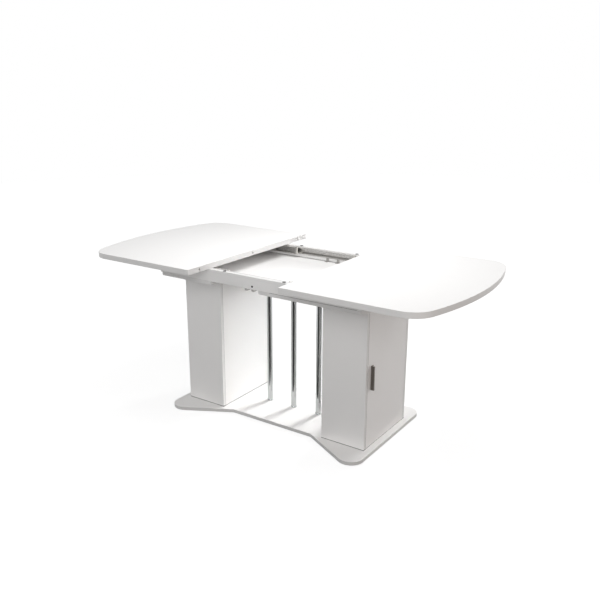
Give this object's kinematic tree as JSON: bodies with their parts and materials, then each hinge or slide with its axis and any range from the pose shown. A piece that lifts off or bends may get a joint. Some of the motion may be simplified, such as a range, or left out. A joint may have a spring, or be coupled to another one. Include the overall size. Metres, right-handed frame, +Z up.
{
  "type": "extendable dining table",
  "caption": "Dining table drawn open: leaves with bowed ends on ball-bearing slides, two cupboard pedestals and chromed tubes on a butterfly base board.",
  "frame": {"origin": "on the floor under the middle of the table, at the centre of the footprint of the open table", "axes": "+X along the table (the way the right leaf is drawn out), +Y to its back, +Z up"},
  "size_m": [1.814, 0.9, 0.762],
  "materials": {
    "laminate": "white satin laminate on particle board",
    "chrome": "polished chrome plate",
    "zinc_steel": "bright zinc-plated rolled steel",
    "dark_metal": "dark graphite, satin",
    "black_plastic": "moulded black polyamide",
    "felt": "pressed grey felt",
    "beech": "turned raw beech"
  },
  "bodies": {
    "frame": {"base_board": "laminate", "glide_front_left": "felt", "glide_front_right": "felt", "glide_back_left": "felt", "glide_back_right": "felt", "left_front_panel": "laminate", "left_back_panel": "laminate", "left_inner_panel": "laminate", "left_shelf": "laminate", "left_lower_pivot": "zinc_steel", "left_upper_pivot": "zinc_steel", "right_front_panel": "laminate", "right_back_panel": "laminate", "right_inner_panel": "laminate", "right_shelf": "laminate", "right_lower_pivot": "zinc_steel", "right_upper_pivot": "zinc_steel", "tube_left": "chrome", "tube_middle": "chrome", "tube_right": "chrome", "tube_left_lower_collar": "chrome", "tube_middle_lower_collar": "chrome", "tube_right_lower_collar": "chrome", "tube_left_upper_collar": "chrome", "tube_middle_upper_collar": "chrome", "tube_right_upper_collar": "chrome", "left_top_board": "laminate", "right_top_board": "laminate", "front_apron": "laminate", "back_apron": "laminate", "front_left_pad": "black_plastic", "front_right_pad": "black_plastic", "back_left_pad": "black_plastic", "back_right_pad": "black_plastic", "front_bolt_cap": "black_plastic", "apron_hanger_1": "zinc_steel", "apron_hanger_2": "zinc_steel", "apron_angle_1": "zinc_steel", "apron_angle_2": "zinc_steel", "front_slide_channel": "zinc_steel", "back_slide_channel": "zinc_steel"},
    "left_top": {"left_leaf": "laminate", "left_front_carrier": "zinc_steel", "left_back_carrier": "zinc_steel"},
    "right_top": {"right_leaf": "laminate", "right_front_carrier": "zinc_steel", "right_back_carrier": "zinc_steel", "dowel_1": "beech", "dowel_2": "beech", "dowel_3": "beech"},
    "left_runners": {"left_front_runner": "zinc_steel", "left_back_runner": "zinc_steel"},
    "right_runners": {"right_front_runner": "zinc_steel", "right_back_runner": "zinc_steel"},
    "left_cupboard_door": {"left_door": "laminate", "left_handle": "dark_metal"},
    "right_cupboard_door": {"right_door": "laminate", "right_handle": "dark_metal"}
  },
  "joints": [
    {"name": "left_leaf_slide", "type": "slide", "parent": "frame", "child": "left_top", "axis": [-1, 0, 0], "range_m": [-0.2335, 0]},
    {"name": "right_leaf_slide", "type": "slide", "parent": "frame", "child": "right_top", "axis": [1, 0, 0], "range_m": [-0.2335, 0]},
    {"name": "left_runner_slide", "type": "slide", "parent": "frame", "child": "left_runners", "axis": [-1, 0, 0], "range_m": [-0.117, 0]},
    {"name": "right_runner_slide", "type": "slide", "parent": "frame", "child": "right_runners", "axis": [1, 0, 0], "range_m": [-0.117, 0]},
    {"name": "left_door_hinge", "type": "hinge", "parent": "frame", "child": "left_cupboard_door", "pos_m": [-0.487, 0.166, 0.342], "axis": [0, 0, -1], "range_deg": [0, 100]},
    {"name": "right_door_hinge", "type": "hinge", "parent": "frame", "child": "right_cupboard_door", "pos_m": [0.487, 0.166, 0.342], "axis": [0, 0, 1], "range_deg": [0, 100]}
  ],
  "couplings": [
    {"joint": "left_runner_slide", "follows": "left_leaf_slide", "ratio": 0.5},
    {"joint": "right_runner_slide", "follows": "right_leaf_slide", "ratio": 0.5}
  ]
}
